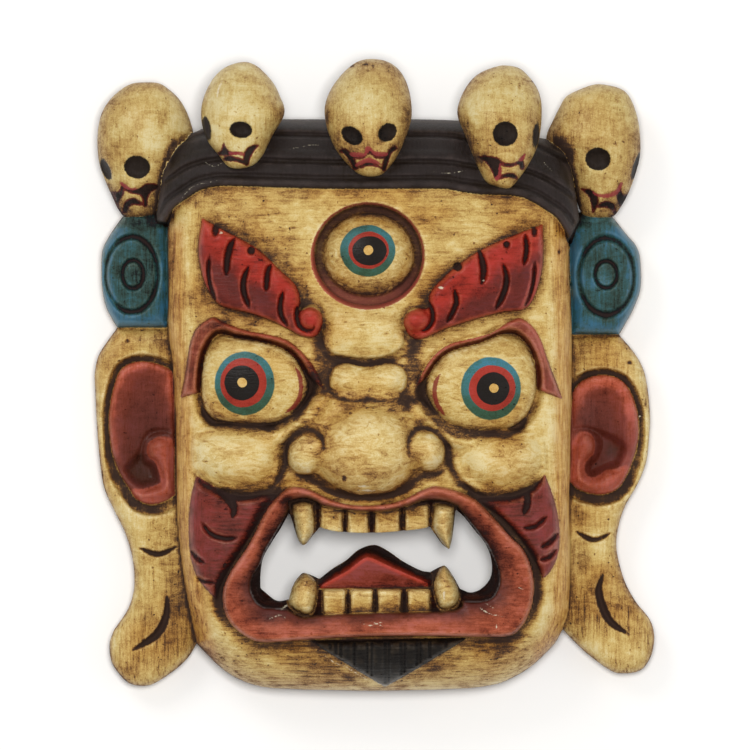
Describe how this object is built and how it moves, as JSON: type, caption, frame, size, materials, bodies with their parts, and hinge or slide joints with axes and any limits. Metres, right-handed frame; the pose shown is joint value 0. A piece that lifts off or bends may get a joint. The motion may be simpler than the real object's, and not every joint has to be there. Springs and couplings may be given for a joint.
{
  "type": "bhairab mask",
  "caption": "Carved and painted wooden Bhairab mask with staring eyes, a forehead eye, bared fangs, long-lobed ears and a skull crown; it lies on its flat, hollowed back.",
  "frame": {"origin": "centre of the outline, on the flat back that the mask lies on", "axes": "+Y towards the crown, +X to the right of someone looking at the face, +Z out of the face"},
  "size_m": [0.3951, 0.4438, 0.1168],
  "materials": {
    "painted_wood": "aged cream, red, blue and black paint with a brown wash"
  },
  "bodies": {
    "root": {"mask": "painted_wood"}
  },
  "joints": []
}
